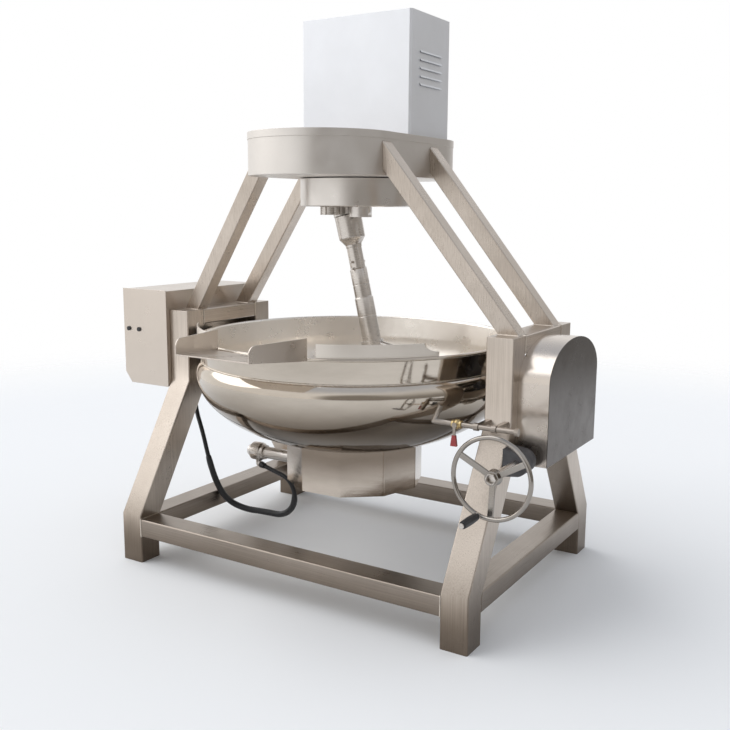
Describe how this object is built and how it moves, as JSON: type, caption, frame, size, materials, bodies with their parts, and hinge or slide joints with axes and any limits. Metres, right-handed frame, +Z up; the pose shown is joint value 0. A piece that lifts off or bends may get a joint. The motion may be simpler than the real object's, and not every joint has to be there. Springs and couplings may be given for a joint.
{
  "type": "steam jacketed kettle",
  "caption": "Tilting jacketed cooking kettle on a tubular steel stand, with worm-gear handwheel tipping, a pouring spout and an overhead planetary scraper stirrer.",
  "frame": {"origin": "on the floor, straight below the centre of the bowl and the stirrer's axis", "axes": "+X to the worm gear and handwheel side, -Y to the pouring side, +Z up"},
  "size_m": [1.927, 1.4553, 2.076],
  "materials": {
    "stand_steel": "satin brushed stainless steel",
    "satin_steel": "fine satin stainless sheet",
    "polished_steel": "mirror polished stainless steel",
    "bowl_steel": "brushed inner bowl",
    "machined_steel": "machined steel",
    "cast_bearing": "dark cast housing",
    "handwheel_chrome": "bright handwheel",
    "black_plastic": "black moulded plastic",
    "red_sleeve": "red vinyl sleeve",
    "cable_rubber": "black rubber sheath",
    "blade_plastic": "white scraper blades",
    "motor_paint": "painted casing",
    "brass": "brass valve"
  },
  "bodies": {
    "frame": {"leg_front_left": "stand_steel", "leg_front_right": "stand_steel", "leg_rear_left": "stand_steel", "leg_rear_right": "stand_steel", "rail_front": "stand_steel", "rail_rear": "stand_steel", "rail_left": "stand_steel", "rail_right": "stand_steel", "beam_left": "stand_steel", "beam_right": "stand_steel", "bearing_beam_left": "stand_steel", "bearing_beam_right": "stand_steel", "pillow_blocks": "cast_bearing", "block_bolts": "machined_steel", "head_housing": "satin_steel", "head_lid": "satin_steel", "motor_cover": "satin_steel", "gearmotor": "motor_paint", "strut_front_left": "stand_steel", "strut_front_right": "stand_steel", "strut_rear_left": "stand_steel", "strut_rear_right": "stand_steel", "gear_cover": "satin_steel", "worm_bearings": "cast_bearing", "inlet_pipe": "satin_steel", "valve_body": "brass", "pipe_brackets": "satin_steel", "control_box": "satin_steel", "box_cover": "satin_steel", "box_latches": "black_plastic", "heater_cable": "cable_rubber"},
    "kettle": {"inner_bowl": "bowl_steel", "rim_bead": "polished_steel", "jacket": "polished_steel", "rim_guard_left": "satin_steel", "rim_guard_right": "satin_steel", "spout": "satin_steel", "collar": "polished_steel", "collar_plate": "satin_steel", "heater_stub": "satin_steel", "heating_element": "machined_steel", "terminal_head": "satin_steel", "cable_gland": "black_plastic", "trunnion_left": "machined_steel", "trunnion_right": "machined_steel", "worm_wheel": "machined_steel"},
    "worm_drive": {"worm_shaft": "machined_steel", "handwheel": "handwheel_chrome", "wheel_nut": "machined_steel", "crank_pin": "machined_steel"},
    "grip": {"crank_grip": "black_plastic"},
    "lever": {"valve_lever": "machined_steel", "lever_sleeve": "red_sleeve"},
    "planet": {"rotary_drum": "satin_steel", "lock_nut": "machined_steel"},
    "arm": {"arm_socket": "machined_steel", "arm_tube": "machined_steel", "lock_pins": "machined_steel", "scraper_frame": "machined_steel", "scraper_blades": "blade_plastic"}
  },
  "joints": [
    {"name": "kettle_tilt", "type": "hinge", "parent": "frame", "child": "kettle", "pos_m": [0, 0, 0.815], "axis": [1, 0, 0], "range_deg": [0, 50], "deforming": ["heater_cable"]},
    {"name": "handwheel_turn", "type": "hinge", "parent": "frame", "child": "worm_drive", "pos_m": [0.82, -0.502, 0.571], "axis": [0, -1, 0], "range_deg": [0, 3500]},
    {"name": "crank_grip_spin", "type": "hinge", "parent": "worm_drive", "child": "grip", "pos_m": [0.7806, -0.5215, 0.44974], "axis": [0, -1, 0], "continuous": true},
    {"name": "valve_lever_turn", "type": "hinge", "parent": "frame", "child": "lever", "pos_m": [0.626, -0.38, 0.685], "axis": [0, -1, 0], "range_deg": [0, 90]},
    {"name": "planet_head_turn", "type": "hinge", "parent": "frame", "child": "planet", "pos_m": [0, 0, 1.4], "axis": [0, 0, 1], "continuous": true},
    {"name": "arm_spin", "type": "hinge", "parent": "planet", "child": "arm", "pos_m": [0, 0, 1.198], "axis": [-0.2317, 0, 0.9728], "continuous": true}
  ],
  "couplings": [
    {"joint": "handwheel_turn", "follows": "kettle_tilt", "ratio": 70},
    {"joint": "arm_spin", "follows": "planet_head_turn", "ratio": -2.5}
  ]
}
